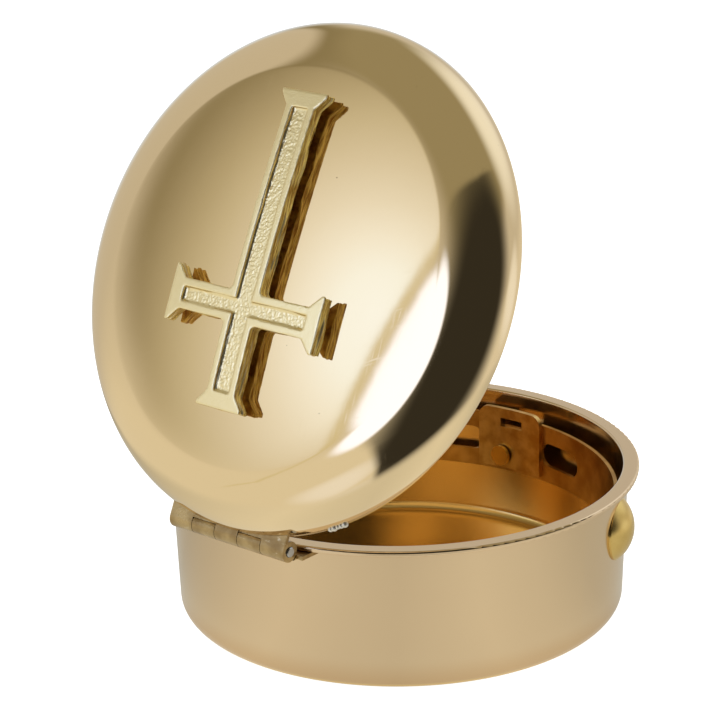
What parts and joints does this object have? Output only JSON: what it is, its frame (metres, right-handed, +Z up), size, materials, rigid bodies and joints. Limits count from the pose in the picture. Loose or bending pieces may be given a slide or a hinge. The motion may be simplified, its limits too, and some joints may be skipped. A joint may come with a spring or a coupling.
{
  "type": "hinged round metal pill box",
  "caption": "Round hinged metal box with a shallow domed lid that carries an applied plain cross, a pinned hinge and a push-button spring catch.",
  "frame": {"origin": "centre of the flat underside of the body", "axes": "+Z up along the body's axis, +Y from the hinge towards the latch and its button, X along the hinge pin"},
  "size_m": [0.0509, 0.0551, 0.0625],
  "materials": {
    "body_gold": "satin",
    "lid_gold": "polished",
    "hinge_brass": "worn",
    "pin_steel": "satin",
    "spring_bronze": "tarnished",
    "plate_metal": "satin",
    "rivet_gold": "polished",
    "cross_gold": "polished cast",
    "catch_brass": "satin",
    "solder": "dull"
  },
  "bodies": {
    "box": {"body_cup": "body_gold", "body_hinge_leaf": "hinge_brass", "hinge_pin": "pin_steel", "catch_spring": "spring_bronze", "spring_rivet_right": "rivet_gold", "spring_rivet_left": "rivet_gold"},
    "lid": {"lid_shell": "lid_gold", "lid_ring": "catch_brass", "lid_hinge_leaf": "hinge_brass", "lid_catch": "catch_brass", "lid_cross": "cross_gold", "rim_solder_bead": "solder"},
    "button": {"push_button": "rivet_gold", "catch_plate": "plate_metal"}
  },
  "joints": [
    {"name": "lid_hinge", "type": "hinge", "parent": "box", "child": "lid", "pos_m": [0, -0.02587, 0.01565], "axis": [1, 0, 0], "range_deg": [-64.1, 41]},
    {"name": "button_press", "type": "slide", "parent": "box", "child": "button", "axis": [0, -1, 0], "range_m": [0, 0.001], "stiffness_N_per_m": 2500, "springref_m": -0.0002, "deforming": ["catch_spring"]}
  ]
}
